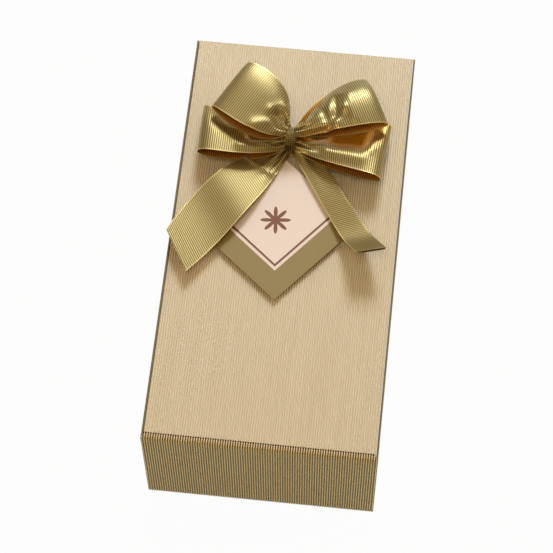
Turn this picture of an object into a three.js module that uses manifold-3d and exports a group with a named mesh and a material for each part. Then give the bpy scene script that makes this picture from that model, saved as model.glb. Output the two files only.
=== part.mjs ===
// Gift box of chocolates: a one-piece carton of gold fluted board with a hinged tuck-in lid,
// two trays of pralines inside and a ribbon bow over a square card tag on the lid.
// Millimetres, +Z up, front towards -Y. The origin is the middle of the underside.
import * as THREE from 'three';
import { mergeVertices } from 'three/addons/utils/BufferGeometryUtils.js';
import Module from 'manifold-3d';

const wasm = await Module();
wasm.setup();

// Carton
const BOX_WIDTH = 120;
const BOX_LENGTH = 236;
const BOX_HEIGHT = 74;
const LINER = 0.55;
const FLUTE_DEPTH = 0.45;
const FLUTE_PITCH = 1.26;
const FLOOR_CREST_FLAT = 0.4;
const GAP = 0.3;
const ROLL_GAP = 0.3;
const ROLL_STEPS = 3;
const ROLL_DROP = 0.4;
const TUCK_SLOT = 1.3;
const TUCK_DEPTH = 14;
const TUCK_CORNER_GAP = 2;
const TUCK_MITRE = 0.7;
const CREASE_RADIUS = 0.15;
const CREASE_STEPS = 2;
const EAR_DEPTH = 14;
const EAR_LENGTH = 150;
const EAR_CORNER = 10;
const EAR_FRONT_GAP = 6;
const EAR_CLEARANCE = 0.4;
const WALL_EDGE_DROP = 0.2;

// Trays and pralines
const HEADSPACE = 6.3;
const TRAY_WALL = 0.8;
const TRAY_SIDE_GAP = 3.3;
const TRAY_END_GAP = 0.6;
const TRAY_COLUMNS = 3;
const TRAY_ROWS = 6;
const CUP_DEPTH = 24;
const CUP_TAPER = 2;
const CUP_CORNER = 8;
const CUP_WEB = 2.2;
const SHEET_THICKNESS = 0.8;
const SHEET_MARGIN = 1;
const PRALINE_SEGMENTS = 10;
const PRALINE_CLEARANCE = 2;
const DOME_HEIGHT = 20;
const SHELL_NARROWING = 3;
const SHELL_HEIGHT = 19;
const SHELL_RIDGES = 5;
const SHELL_RIDGE_SHARE = 0.04;
const CUSHION_HEIGHT = 19;
const CUSHION_CORNERS = 4;
const CUSHION_SWELL_SHARE = 0.07;

// Bow and tag: the knot is placed from the middle of the lid
const RIBBON_WIDTH = 25;
const RIBBON = 0.5;
const KNOT_X = -2;
const KNOT_Y = 56.5;
const KNOT_CLEARANCE = 0.5;
const KNOT_WIDTH = 7;
const KNOT_LENGTH = 14;
const KNOT_HEIGHT = 15;
const KNOT_FOLDS = 6;
const KNOT_FOLD_SHARE = 0.08;
const PAD_DIAMETER = 13;
const PAD_THICKNESS = 0.9;
const PAD_SIDES = 16;
const LOOP_STEPS = 20;
const LOOP_ACROSS = 4;
const TAIL_STEPS = 12;
const TAIL_ACROSS = 3;
const TAG_SIDE = 62;
const TAG_ANGLE = 5.2;
const TAG_THICKNESS = 0.5;
const TAG_CORNER_X = -7;
const TAG_CORNER_Y = -4.8;
const TAG_PAD_SIDE = 16;
const TAG_PAD_THICKNESS = 0.8;

// Sizes that follow from those above
const BOARD = LINER + FLUTE_DEPTH;
const HALF_WIDTH = BOX_WIDTH / 2;
const HALF_LENGTH = BOX_LENGTH / 2;
const PANEL_WIDTH = BOX_WIDTH - 2 * (BOARD + GAP);
const LID_UNDERSIDE = BOX_HEIGHT - BOARD;
const ROLL_THICKNESS = 2 * BOARD + ROLL_GAP;
const CREASE_Y = -HALF_LENGTH + ROLL_THICKNESS + TUCK_SLOT + BOARD;
const CREASE_Z = LID_UNDERSIDE - CREASE_RADIUS;
const EAR_INSIDE = HALF_WIDTH - BOARD - EAR_CLEARANCE - BOARD;
const TRAY_WIDTH = 2 * (EAR_INSIDE - TRAY_SIDE_GAP);
const TRAY_FRONT = CREASE_Y + TRAY_END_GAP;
const TRAY_BACK = HALF_LENGTH - BOARD - GAP - TRAY_END_GAP;
const TRAY_LENGTH = TRAY_BACK - TRAY_FRONT;
const TRAY_MIDDLE = (TRAY_FRONT + TRAY_BACK) / 2;
const LOWER_TRAY_Z = BOARD + GAP;
const TRAY_HEIGHT = (LID_UNDERSIDE - HEADSPACE - LOWER_TRAY_Z - SHEET_THICKNESS - 2 * GAP) / 2;
const CUP_FLOOR = TRAY_HEIGHT - CUP_DEPTH;
const CUP_PITCH_X = (TRAY_WIDTH - CUP_WEB) / TRAY_COLUMNS;
const CUP_PITCH_Y = (TRAY_LENGTH - CUP_WEB) / TRAY_ROWS;
const CUP_TOP = Math.min(CUP_PITCH_X, CUP_PITCH_Y) - CUP_WEB;
const CUP_BOTTOM = CUP_TOP - 2 * CUP_TAPER;
const PRALINE_SIZE = CUP_BOTTOM - 2 * PRALINE_CLEARANCE;
const SHELL_WIDTH = PRALINE_SIZE - SHELL_NARROWING;
const SHEET_Z = LOWER_TRAY_Z + TRAY_HEIGHT + GAP;
const UPPER_TRAY_Z = SHEET_Z + SHEET_THICKNESS + GAP;

// Finishes
function finish(color, roughness, metalness) {
  return new THREE.MeshStandardMaterial({ color, roughness, metalness });
}

const goldBoard = finish('#c9b486', 0.45, 0.5);
const goldRibbon = finish('#b59a4a', 0.3, 0.8);
const tagCard = finish('#e2d6cb', 0.6, 0);
const foamPad = finish('#f2f0ea', 0.8, 0);
const trayPlastic = finish('#8a6a35', 0.35, 0.3);
const sheetPaper = finish('#d8c9a2', 0.7, 0);
const milkChocolate = finish('#7a3d1e', 0.4, 0);
const whiteChocolate = finish('#efe3bd', 0.45, 0);
const darkChocolate = finish('#33211c', 0.4, 0);

const gift = new THREE.Group();

function add(name, geometry, material, position = [0, 0, 0], parent = gift) {
  const mesh = new THREE.Mesh(geometry, material);
  mesh.name = name;
  mesh.position.set(...position);
  parent.add(mesh);
  return mesh;
}

// Joins points and triangles into one closed geometry with its faces pointing out
function closedGeometry(points, triangles) {
  let volume = 0;
  for (const [a, b, c] of triangles) {
    volume += points[a].dot(new THREE.Vector3().crossVectors(points[b], points[c]));
  }
  const order = volume < 0 ? triangles.map(([a, b, c]) => [a, c, b]) : triangles;
  const geometry = new THREE.BufferGeometry().setFromPoints(points);
  geometry.setIndex(order.flat());
  return geometry;
}

function toSolid(geometry) {
  const bare = geometry.clone();
  bare.deleteAttribute('normal');
  bare.deleteAttribute('uv');
  const merged = mergeVertices(bare, 1e-4);
  return new wasm.Manifold(new wasm.Mesh({
    numProp: 3,
    vertProperties: new Float32Array(merged.attributes.position.array),
    triVerts: new Uint32Array(merged.index.array),
  }));
}

function fromSolid(solid) {
  const mesh = solid.getMesh();
  const geometry = new THREE.BufferGeometry();
  const points = Float32Array.from(mesh.vertProperties);
  geometry.setAttribute('position', new THREE.BufferAttribute(points, 3));
  geometry.setIndex(new THREE.BufferAttribute(Uint32Array.from(mesh.triVerts), 1));
  return geometry;
}

// Fluted board

// One trough-crest-trough wave per flute; an odd count puts a crest on the panel's middle
function fluteWave(width, crestFlat) {
  const count = 2 * Math.round((width / FLUTE_PITCH - 1) / 2) + 1;
  const pitch = width / count;
  const wave = [new THREE.Vector2(-width / 2, LINER)];
  for (let flute = 0; flute < count; flute += 1) {
    const crest = -width / 2 + (flute + 0.5) * pitch;
    const halves = crestFlat > 0 ? [-crestFlat / 2, crestFlat / 2] : [0];
    for (const half of halves) {
      wave.push(new THREE.Vector2(crest + half, BOARD));
    }
    wave.push(new THREE.Vector2(crest + pitch / 2, LINER));
  }
  return wave;
}

// Sheet whose flutes follow a path of rows in the YZ plane.
// Each row has a point on the liner and an outward direction
function flutedBoard(width, rows, crestFlat = 0) {
  const wave = fluteWave(width, crestFlat);
  const points = [];
  const triangles = [];
  const quad = (a, b, c, d) => triangles.push([a, b, c], [a, c, d]);
  const stride = wave.length + 2;
  for (const { y, z, outY, outZ } of rows) {
    for (const { x, y: depth } of wave) {
      points.push(new THREE.Vector3(x, y + outY * depth, z + outZ * depth));
    }
    points.push(new THREE.Vector3(width / 2, y, z), new THREE.Vector3(-width / 2, y, z));
  }
  for (let row = 0; row + 1 < rows.length; row += 1) {
    const here = row * stride;
    const next = here + stride;
    for (let edge = 0; edge < stride; edge += 1) {
      const after = (edge + 1) % stride;
      quad(here + edge, here + after, next + after, next + edge);
    }
  }
  const outline = [...wave, new THREE.Vector2(width / 2, 0), new THREE.Vector2(-width / 2, 0)];
  const last = (rows.length - 1) * stride;
  for (const [a, b, c] of THREE.ShapeUtils.triangulateShape(outline, [])) {
    triangles.push([a, b, c], [last + a, last + c, last + b]);
  }
  return closedGeometry(points, triangles);
}

const row = (y, z, outY, outZ) => ({ y, z, outY, outZ });
const flatRows = (from, to, z) => [row(from, z, 0, 1), row(to, z, 0, 1)];

// A bend of the board: rows round a centre from one direction to another, in degrees from +Y
function bendRows(centreY, centreZ, radius, from, to, steps) {
  return Array.from({ length: steps + 1 }, (_, step) => {
    const angle = THREE.MathUtils.degToRad(from + (to - from) * step / steps);
    const outY = Math.cos(angle);
    const outZ = Math.sin(angle);
    return row(centreY + radius * outY, centreZ + radius * outZ, outY, outZ);
  });
}

function addBaseFloor() {
  const reach = HALF_LENGTH - BOARD - GAP;
  const floor = flutedBoard(PANEL_WIDTH, flatRows(-reach, reach, 0), FLOOR_CREST_FLAT);
  add('base_floor', floor, goldBoard, [0, 0, BOARD]).rotation.y = Math.PI;
}

// The front wall rolls over its top edge and comes down again inside
function addFrontWall() {
  const bend = ROLL_GAP / 2;
  const centreY = -HALF_LENGTH + BOARD + bend;
  const centreZ = BOX_HEIGHT - ROLL_DROP - BOARD - bend;
  const rows = [
    row(centreY - bend, 0, -1, 0),
    ...bendRows(centreY, centreZ, bend, 180, 0, ROLL_STEPS),
    row(centreY + bend, BOARD + GAP, 1, 0),
  ];
  add('front_wall', flutedBoard(PANEL_WIDTH, rows), goldBoard);
}

function addRearWall() {
  const liner = HALF_LENGTH - BOARD;
  const rows = [row(liner, 0, 1, 0), row(liner, LID_UNDERSIDE - GAP, 1, 0)];
  add('rear_wall', flutedBoard(PANEL_WIDTH, rows), goldBoard);
}

function addSideWalls() {
  const height = BOX_HEIGHT - WALL_EDGE_DROP;
  for (const [name, side] of [['left_wall', -1], ['right_wall', 1]]) {
    const wall = flutedBoard(height, flatRows(-HALF_LENGTH, HALF_LENGTH, HALF_WIDTH - BOARD));
    add(name, wall, goldBoard, [0, 0, height / 2]).rotation.y = side * Math.PI / 2;
  }
}

// The lid runs from the rear crease to the front crease, where it turns down into the tuck flap
function addLid() {
  const rows = [
    row(HALF_LENGTH, LID_UNDERSIDE, 0, 1),
    ...bendRows(CREASE_Y + CREASE_RADIUS, CREASE_Z, CREASE_RADIUS, 90, 180, CREASE_STEPS),
  ];
  add('lid_panel', flutedBoard(PANEL_WIDTH, rows), goldBoard);
}

// The flap's top is mitred so that it can spring forward under the crease
function addTuckFlap() {
  const top = CREASE_Z - GAP;
  const width = PANEL_WIDTH - 2 * (EAR_CLEARANCE + BOARD + TUCK_CORNER_GAP);
  const flap = new THREE.Shape([
    new THREE.Vector2(0, top),
    new THREE.Vector2(-BOARD, top - TUCK_MITRE),
    new THREE.Vector2(-BOARD, top - TUCK_DEPTH),
    new THREE.Vector2(0, top - TUCK_DEPTH),
  ]);
  const flat = new THREE.ExtrudeGeometry(flap, { depth: width, bevelEnabled: false });
  flat.translate(0, 0, -width / 2);
  flat.applyMatrix4(new THREE.Matrix4().makeBasis(
    new THREE.Vector3(0, 1, 0),
    new THREE.Vector3(0, 0, 1),
    new THREE.Vector3(1, 0, 0),
  ));
  const rows = [row(0, top - TUCK_DEPTH, -1, 0), row(0, top, -1, 0)];
  const fluted = toSolid(flutedBoard(width, rows)).intersect(toSolid(flat));
  add('tuck_flap', fromSolid(fluted), goldBoard, [0, CREASE_Y, 0]);
}

// The ears hang from the lid's long edges inside the side walls, with slanted ends
function addEars() {
  const rear = CREASE_Y + EAR_FRONT_GAP + EAR_LENGTH;
  const front = CREASE_Y + EAR_FRONT_GAP;
  const top = LID_UNDERSIDE - GAP;
  const outline = new THREE.Shape([
    new THREE.Vector2(front, top),
    new THREE.Vector2(rear, top),
    new THREE.Vector2(rear - EAR_CORNER, top - EAR_DEPTH),
    new THREE.Vector2(front + EAR_CORNER, top - EAR_DEPTH),
  ]);
  const blank = new THREE.ExtrudeGeometry(outline, { depth: BOARD, bevelEnabled: false });
  blank.applyMatrix4(new THREE.Matrix4().makeBasis(
    new THREE.Vector3(0, 1, 0),
    new THREE.Vector3(0, 0, 1),
    new THREE.Vector3(1, 0, 0),
  ));
  const strip = flutedBoard(EAR_DEPTH, flatRows(front, rear, 0));
  strip.rotateY(Math.PI / 2);
  strip.translate(0, 0, top - EAR_DEPTH / 2);
  const right = fromSolid(toSolid(strip).intersect(toSolid(blank)));
  const left = fromSolid(toSolid(right).mirror([1, 0, 0]));
  add('left_ear', left, goldBoard, [-EAR_INSIDE, 0, 0]);
  add('right_ear', right, goldBoard, [EAR_INSIDE, 0, 0]);
}

// Trays

function chamferedSquare(side, corner) {
  const half = side / 2;
  const inner = half - corner;
  return [
    [half, -inner], [half, inner], [inner, half], [-inner, half],
    [-half, inner], [-half, -inner], [-inner, -half], [inner, -half],
  ];
}

// A cup's tapered block between two levels
function cupBlock(bottomSide, bottomZ, topSide, topZ, corner) {
  const bottom = chamferedSquare(bottomSide, corner);
  const top = chamferedSquare(topSide, corner);
  const sides = bottom.length;
  const points = [
    ...bottom.map(([x, y]) => new THREE.Vector3(x, y, bottomZ)),
    ...top.map(([x, y]) => new THREE.Vector3(x, y, topZ)),
  ];
  const triangles = [];
  for (let side = 0; side < sides; side += 1) {
    const next = (side + 1) % sides;
    triangles.push([side, next, sides + next], [side, sides + next, sides + side]);
  }
  for (let side = 1; side + 1 < sides; side += 1) {
    triangles.push([0, side + 1, side], [sides, sides + side, sides + side + 1]);
  }
  return toSolid(closedGeometry(points, triangles));
}

function forEachCup(visit) {
  for (let line = 0; line < TRAY_ROWS; line += 1) {
    for (let column = 0; column < TRAY_COLUMNS; column += 1) {
      const x = (column - (TRAY_COLUMNS - 1) / 2) * CUP_PITCH_X;
      const y = TRAY_MIDDLE + (line - (TRAY_ROWS - 1) / 2) * CUP_PITCH_Y;
      visit(x, y, line, column);
    }
  }
}

// A thin formed sheet that stands on its turned-down skirt, with a tapered cup for each praline
function trayGeometry() {
  const outer = new THREE.BoxGeometry(TRAY_WIDTH, TRAY_LENGTH, TRAY_HEIGHT);
  outer.translate(0, TRAY_MIDDLE, TRAY_HEIGHT / 2);
  const innerWidth = TRAY_WIDTH - 2 * TRAY_WALL;
  const innerLength = TRAY_LENGTH - 2 * TRAY_WALL;
  const hollow = new THREE.BoxGeometry(innerWidth, innerLength, 2 * TRAY_HEIGHT);
  hollow.translate(0, TRAY_MIDDLE, -TRAY_WALL);
  let tray = toSolid(outer).subtract(toSolid(hollow));
  const bottom = CUP_BOTTOM + 2 * TRAY_WALL;
  const top = CUP_TOP + 2 * TRAY_WALL;
  const shell = cupBlock(bottom, CUP_FLOOR - TRAY_WALL, top, TRAY_HEIGHT - TRAY_WALL / 2, CUP_CORNER);
  const space = cupBlock(CUP_BOTTOM, CUP_FLOOR, CUP_TOP, TRAY_HEIGHT + TRAY_WALL, CUP_CORNER);
  const places = [];
  forEachCup((x, y) => places.push([x, y, 0]));
  for (const place of places) {
    tray = tray.add(shell.translate(place));
  }
  for (const place of places) {
    tray = tray.subtract(space.translate(place));
  }
  return fromSolid(tray);
}

// Pralines

// A moulded form: a profile turned about its axis, stretched and waved round its edge
function praline(profile, stretchX, stretchY, lobes, lobeDepth) {
  const outline = profile.map(([r, z]) => new THREE.Vector2(r, z));
  const turned = new THREE.LatheGeometry(outline, PRALINE_SEGMENTS);
  turned.rotateX(Math.PI / 2);
  const place = turned.attributes.position;
  for (let index = 0; index < place.count; index += 1) {
    const x = place.getX(index);
    const y = place.getY(index);
    const wave = 1 + lobeDepth * Math.cos(lobes * Math.atan2(y, x));
    place.setXY(index, x * wave * stretchX, y * wave * stretchY);
  }
  turned.deleteAttribute('normal');
  turned.deleteAttribute('uv');
  return mergeVertices(turned, 1e-3);
}

const domeProfile = [
  [0, 0], [0.92, 0], [1, 0.08], [0.93, 0.6], [0.72, 0.92], [0.5, 1], [0.4, 0.94], [0, 0.94],
].map(([r, z]) => [r * PRALINE_SIZE / 2, z * DOME_HEIGHT]);
const shellProfile = [
  [0, 0], [0.9, 0], [1, 0.1], [0.95, 0.5], [0.75, 0.8], [0.4, 0.96], [0, 1],
].map(([r, z]) => [r * SHELL_WIDTH / 2, z * SHELL_HEIGHT]);
const cushionProfile = [
  [0, 0], [0.92, 0], [1, 0.08], [0.97, 0.55], [0.8, 0.85], [0.45, 0.93], [0.25, 1], [0, 1],
].map(([r, z]) => [r * PRALINE_SIZE / 2, z * CUSHION_HEIGHT]);

const shellStretch = PRALINE_SIZE / SHELL_WIDTH;
const PRALINES = [
  {
    kind: 'milk_shell',
    material: milkChocolate,
    make: () => praline(shellProfile, 1, shellStretch, SHELL_RIDGES, SHELL_RIDGE_SHARE),
  },
  {
    kind: 'white_cushion',
    material: whiteChocolate,
    make: () => praline(cushionProfile, 1, 1, CUSHION_CORNERS, -CUSHION_SWELL_SHARE),
  },
  {
    kind: 'dark_dome',
    material: darkChocolate,
    make: () => praline(domeProfile, 1, 1, 0, 0),
  },
];

function addLayer(name, trayZ) {
  add(`${name}_tray`, trayGeometry(), trayPlastic, [0, 0, trayZ]);
  const seat = trayZ + CUP_FLOOR + GAP;
  forEachCup((x, y, line, column) => {
    const { kind, material, make } = PRALINES[(line + column) % PRALINES.length];
    add(`${name}_${kind}_${line + 1}${column + 1}`, make(), material, [x, y, seat]);
  });
}

function addLayerSheet() {
  const width = TRAY_WIDTH - 2 * SHEET_MARGIN;
  const length = TRAY_LENGTH - 2 * SHEET_MARGIN;
  const sheet = new THREE.BoxGeometry(width, length, SHEET_THICKNESS);
  add('layer_sheet', sheet, sheetPaper, [0, TRAY_MIDDLE, SHEET_Z + SHEET_THICKNESS / 2]);
}

// Bow

// A ribbon of even thickness over a surface of two parameters
function ribbonGeometry(surface, steps, across) {
  const step = 1e-3;
  const points = [];
  const triangles = [];
  const columns = across + 1;
  const layer = (steps + 1) * columns;
  for (const side of [RIBBON / 2, -RIBBON / 2]) {
    for (let i = 0; i <= steps; i += 1) {
      for (let j = 0; j <= across; j += 1) {
        const u = i / steps;
        const v = j / across;
        const along = surface(Math.min(u + step, 1), v).sub(surface(Math.max(u - step, 0), v));
        const wide = surface(u, Math.min(v + step, 1)).sub(surface(u, Math.max(v - step, 0)));
        const normal = along.cross(wide).normalize();
        points.push(surface(u, v).addScaledVector(normal, side));
      }
    }
  }
  const quad = (a, b, c, d) => triangles.push([a, b, c], [a, c, d]);
  for (let i = 0; i < steps; i += 1) {
    for (let j = 0; j < across; j += 1) {
      const a = i * columns + j;
      const b = a + 1;
      const c = b + columns;
      const d = a + columns;
      quad(a, d, c, b);
      quad(layer + a, layer + b, layer + c, layer + d);
    }
    const near = i * columns;
    const far = near + across;
    quad(near, layer + near, layer + near + columns, near + columns);
    quad(far, far + columns, layer + far + columns, layer + far);
  }
  const end = steps * columns;
  for (let j = 0; j < across; j += 1) {
    quad(j, j + 1, layer + j + 1, layer + j);
    quad(end + j, layer + end + j, layer + end + j + 1, end + j + 1);
  }
  return closedGeometry(points, triangles);
}

// Points of the bow are given in ribbon widths
function bend2(...controls) {
  const places = controls.map(([x, y]) => new THREE.Vector2(x, y).multiplyScalar(RIBBON_WIDTH));
  return new THREE.QuadraticBezierCurve(...places);
}

function bend3(...controls) {
  const places = controls.map((place) => new THREE.Vector3(...place).multiplyScalar(RIBBON_WIDTH));
  return new THREE.QuadraticBezierCurve3(...places);
}

// A loop goes out from the knot on top, turns and comes back below, widening to its outer end
function loopSurface({ rear, front, knotZ, endZ, opening, throat, lean }) {
  const rearEdge = bend2(...rear);
  const frontEdge = bend2(...front);
  return (u, v) => {
    const turn = Math.PI * u;
    const reach = Math.sin(turn);
    const plan = frontEdge.getPoint(reach).lerp(rearEdge.getPoint(reach), v);
    const middle = knotZ + (endZ - knotZ) * reach + lean * (1 - 2 * v) * reach;
    const height = middle + Math.cos(turn) * (throat + opening * reach);
    return new THREE.Vector3(plan.x, plan.y, height * RIBBON_WIDTH);
  };
}

// Places are measured from the knot's middle on the lid. Each edge of a loop runs from the knot's side
// by a control point to the loop's outer corner
const ROOT = (KNOT_WIDTH / 2 + KNOT_CLEARANCE) / RIBBON_WIDTH;
const UPPER = { knotZ: 0.5, endZ: 0.68, opening: 0.36, throat: 0.064, lean: 0.14 };
const LOWER = { knotZ: 0.24, endZ: 0.34, opening: 0.28, throat: 0.064, lean: 0.08 };
const LOOPS = {
  bow_upper_left_loop: {
    ...UPPER,
    rear: [[-ROOT, 0.22], [-0.12, 1.18], [-1.08, 1.58]],
    front: [[-ROOT, -0.02], [-0.72, -0.38], [-1.72, 0.54]],
  },
  bow_upper_right_loop: {
    ...UPPER,
    rear: [[ROOT, 0.22], [0.4, 1.02], [1.34, 1.4]],
    front: [[ROOT, -0.02], [0.96, 0.06], [1.98, 0.42]],
  },
  bow_lower_left_loop: {
    ...LOWER,
    rear: [[-ROOT, 0.02], [-0.88, -0.26], [-1.86, 0.54]],
    front: [[-ROOT, -0.22], [-0.8, -0.66], [-1.94, -0.52]],
  },
  bow_lower_right_loop: {
    ...LOWER,
    rear: [[ROOT, 0.02], [0.88, -0.1], [2.04, 0.38]],
    front: [[ROOT, -0.22], [0.96, -0.66], [1.98, -0.82]],
  },
};

// Each edge of a tail runs from the knot by a control point to a corner of its cut end
const TAILS = {
  bow_left_tail: {
    outer: [[-0.22, -0.18, 0.112], [-1.6, -0.64, 0.12], [-2.28, -2.4, 0.32]],
    inner: [[-0.064, -0.36, 0.104], [-0.88, -1.9, 0.08], [-1.78, -3.26, 0.25]],
  },
  bow_right_tail: {
    outer: [[0.216, -0.16, 0.112], [1.08, -0.62, 0.12], [2.2, -2.5, 0.6]],
    inner: [[0.024, -0.36, 0.104], [0.76, -1.46, 0.08], [1.6, -2.64, 0.54]],
  },
};

function tailSurface({ outer, inner }) {
  const outerEdge = bend3(...outer);
  const innerEdge = bend3(...inner);
  return (u, v) => innerEdge.getPoint(u).lerp(outerEdge.getPoint(u), v);
}

// The knot is a gathered wrap: a ridged barrel along the box
function knotGeometry() {
  const knot = new THREE.SphereGeometry(0.5, 2 * KNOT_FOLDS, KNOT_FOLDS);
  knot.deleteAttribute('normal');
  knot.deleteAttribute('uv');
  const place = knot.attributes.position;
  for (let index = 0; index < place.count; index += 1) {
    const around = Math.atan2(place.getZ(index), place.getX(index));
    const fold = 1 - KNOT_FOLD_SHARE + KNOT_FOLD_SHARE * Math.cos(KNOT_FOLDS * around);
    place.setX(index, place.getX(index) * fold * KNOT_WIDTH);
    place.setY(index, place.getY(index) * KNOT_LENGTH);
    place.setZ(index, place.getZ(index) * fold * KNOT_HEIGHT);
  }
  return mergeVertices(knot, 1e-3);
}

function addBow() {
  const bow = new THREE.Group();
  bow.position.set(KNOT_X, KNOT_Y, BOX_HEIGHT);
  gift.add(bow);
  for (const [name, loop] of Object.entries(LOOPS)) {
    const ribbon = ribbonGeometry(loopSurface(loop), LOOP_STEPS, LOOP_ACROSS);
    add(name, ribbon, goldRibbon, [0, 0, 0], bow);
  }
  for (const [name, tail] of Object.entries(TAILS)) {
    const ribbon = ribbonGeometry(tailSurface(tail), TAIL_STEPS, TAIL_ACROSS);
    add(name, ribbon, goldRibbon, [0, 0, 0], bow);
  }
  const radius = PAD_DIAMETER / 2;
  const pad = new THREE.CylinderGeometry(radius, radius, PAD_THICKNESS, PAD_SIDES);
  pad.rotateX(Math.PI / 2);
  add('bow_pad', pad, foamPad, [0, 0, GAP + PAD_THICKNESS / 2], bow);
  const knotZ = GAP + PAD_THICKNESS + GAP + KNOT_HEIGHT / 2;
  add('bow_knot', knotGeometry(), goldRibbon, [0, 0, knotZ], bow);
}

// The tag is a square card set corner down, on a pad that lifts it off the flutes
function addTag() {
  const tag = new THREE.Group();
  tag.position.set(KNOT_X + TAG_CORNER_X, KNOT_Y + TAG_CORNER_Y, BOX_HEIGHT + GAP);
  tag.rotation.z = THREE.MathUtils.degToRad(45 + TAG_ANGLE);
  gift.add(tag);
  const middle = -TAG_SIDE / 2;
  const pad = new THREE.BoxGeometry(TAG_PAD_SIDE, TAG_PAD_SIDE, TAG_PAD_THICKNESS);
  add('tag_pad', pad, foamPad, [middle, middle, TAG_PAD_THICKNESS / 2], tag);
  const card = new THREE.BoxGeometry(TAG_SIDE, TAG_SIDE, TAG_THICKNESS);
  const cardZ = TAG_PAD_THICKNESS + GAP + TAG_THICKNESS / 2;
  add('tag_card', card, tagCard, [middle, middle, cardZ], tag);
}

addBaseFloor();
addFrontWall();
addRearWall();
addSideWalls();
addLid();
addTuckFlap();
addEars();
addLayer('lower', LOWER_TRAY_Z);
addLayerSheet();
addLayer('upper', UPPER_TRAY_Z);
addBow();
addTag();

export default gift;
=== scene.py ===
"""Looks of the box of chocolates: gold fluted board, a woven gold bow, a card tag and trays of pralines."""
import math

import bpy
import numpy as np
from mathutils import Matrix, Vector


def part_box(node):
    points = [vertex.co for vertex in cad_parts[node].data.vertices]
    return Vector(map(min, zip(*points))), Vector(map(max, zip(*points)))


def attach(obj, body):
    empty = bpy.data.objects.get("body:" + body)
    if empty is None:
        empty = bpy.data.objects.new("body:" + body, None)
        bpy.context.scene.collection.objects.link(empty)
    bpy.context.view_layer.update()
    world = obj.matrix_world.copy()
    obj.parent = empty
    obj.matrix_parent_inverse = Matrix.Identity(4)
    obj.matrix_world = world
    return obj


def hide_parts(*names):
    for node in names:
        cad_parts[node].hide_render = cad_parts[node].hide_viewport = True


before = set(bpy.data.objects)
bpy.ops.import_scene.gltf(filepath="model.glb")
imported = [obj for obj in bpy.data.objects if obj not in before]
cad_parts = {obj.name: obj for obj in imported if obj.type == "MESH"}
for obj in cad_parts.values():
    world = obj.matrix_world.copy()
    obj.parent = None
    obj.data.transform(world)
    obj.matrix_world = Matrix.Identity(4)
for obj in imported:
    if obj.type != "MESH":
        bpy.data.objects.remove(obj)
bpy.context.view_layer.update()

MM = 0.001

# Carton board, as in the solids
BOARD = 1.0 * MM
LINER = 0.55 * MM
FLUTE_DEPTH = BOARD - LINER
FLUTE_PITCH = 1.26 * MM
FLUTE_SIDES = 8
BOARD_GAP = 0.3 * MM
ROLL_RADIUS = 0.7 * MM
ROLL_SQUARENESS = 0.34
ROLL_DROP = 0.06 * MM
LID_REACH = 0.18 * MM
END_SQUEEZE = 0.02
ROLL_TAPER = 8 * MM
FLAP_MITRE = 0.7 * MM
EAR_CORNER = 10 * MM

# Material slots of a piece of board
FACE_SLOT, LINER_SLOT, EDGE_SLOT, CREASE_SLOT = range(4)

# Ribbon: its width and the spacing of its cross ribs
RIBBON_WIDTH = 25 * MM
RIBBON_THICKNESS = 0.3 * MM
RIB_PITCH = 1.18 * MM
RIB_HEIGHT = 0.035 * MM
RIB_SIDES = 6
RIBBON_ACROSS = 32
WRAP_LENGTH = 40 * MM
SELVEDGE = 0.5 * MM
GATHER_FOLDS = 3
GATHER_REACH = 6 * MM
WRAP_STEPS = 120
WRAP_ACROSS = 60

# Tag
TAG_SIDE = 62 * MM
TAG_ANGLE = 45 + 5.2
TAG_CURL = 0.5 * MM
TAG_STEPS = 24
TAG_BEVEL = 0.08 * MM
CHEVRON_WIDTH = 12 * MM
LINE_PLACE = 14.2 * MM
LINE_HALF_WIDTH = 0.6 * MM
ROSETTE_PLACE = 33 * MM
ROSETTE_PETALS = 8
ROSETTE_INNER = 2.5 * MM
ROSETTE_OUTER = 8 * MM

# Pralines
CUSHION_CORNER = 0.06

# Camera, worked out from the carton's corners in the photograph
CAMERA_PLACE = Vector((56.853, -518.882, 1102.569)) * MM
CAMERA_AZIMUTH = -6.674
CAMERA_ELEVATION = 64.019
CAMERA_ROLL = -0.632
PHOTO_SIDE = 553
PHOTO_FOCAL = 2200
SENSOR = 36

# Studio: the sheet of paper below, and the direction and edge of the brighter part of the surroundings
SWEEP_SIDE = 3
SWEEP_DROP = 0.2 * MM
SOFT_BOX_SIDE = (0, math.cos(math.radians(45)), math.sin(math.radians(45)))
SOFT_BOX_EDGE = math.cos(math.radians(30))


# Small helpers

def linear(colour):
    """An sRGB hex colour as linear red, green, blue and alpha."""
    parts = [int(colour[i:i + 2], 16) / 255 for i in (1, 3, 5)]
    return (*[p / 12.92 if p <= 0.04045 else ((p + 0.055) / 1.055) ** 2.4 for p in parts], 1)


def add_node(tree, kind, inputs=None, **settings):
    """A node with its settings, its fixed inputs and the links into it."""
    node = tree.nodes.new(kind)
    for name, value in settings.items():
        setattr(node, name, value)
    for name, value in (inputs or {}).items():
        if isinstance(value, bpy.types.NodeSocket):
            tree.links.new(value, node.inputs[name])
        else:
            node.inputs[name].default_value = value
    return node


def new_material(name):
    """A material with an empty tree, and its Principled shader wired to the output."""
    material = bpy.data.materials.new(name)
    material.use_nodes = True
    tree = material.node_tree
    tree.nodes.clear()
    shader = add_node(tree, "ShaderNodeBsdfPrincipled")
    add_node(tree, "ShaderNodeOutputMaterial", {"Surface": shader.outputs["BSDF"]})
    return material, tree, shader


def start_piece():
    """Nothing selected, so that the next operator acts on the new piece alone."""
    if bpy.context.object and bpy.context.object.mode != "OBJECT":
        bpy.ops.object.mode_set(mode="OBJECT")
    bpy.ops.object.select_all(action="DESELECT")


def edit(piece, action="DESELECT"):
    bpy.context.view_layer.objects.active = piece
    bpy.ops.object.mode_set(mode="EDIT")
    bpy.ops.mesh.select_all(action=action)


def leave_edit():
    bpy.ops.object.mode_set(mode="OBJECT")


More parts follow.
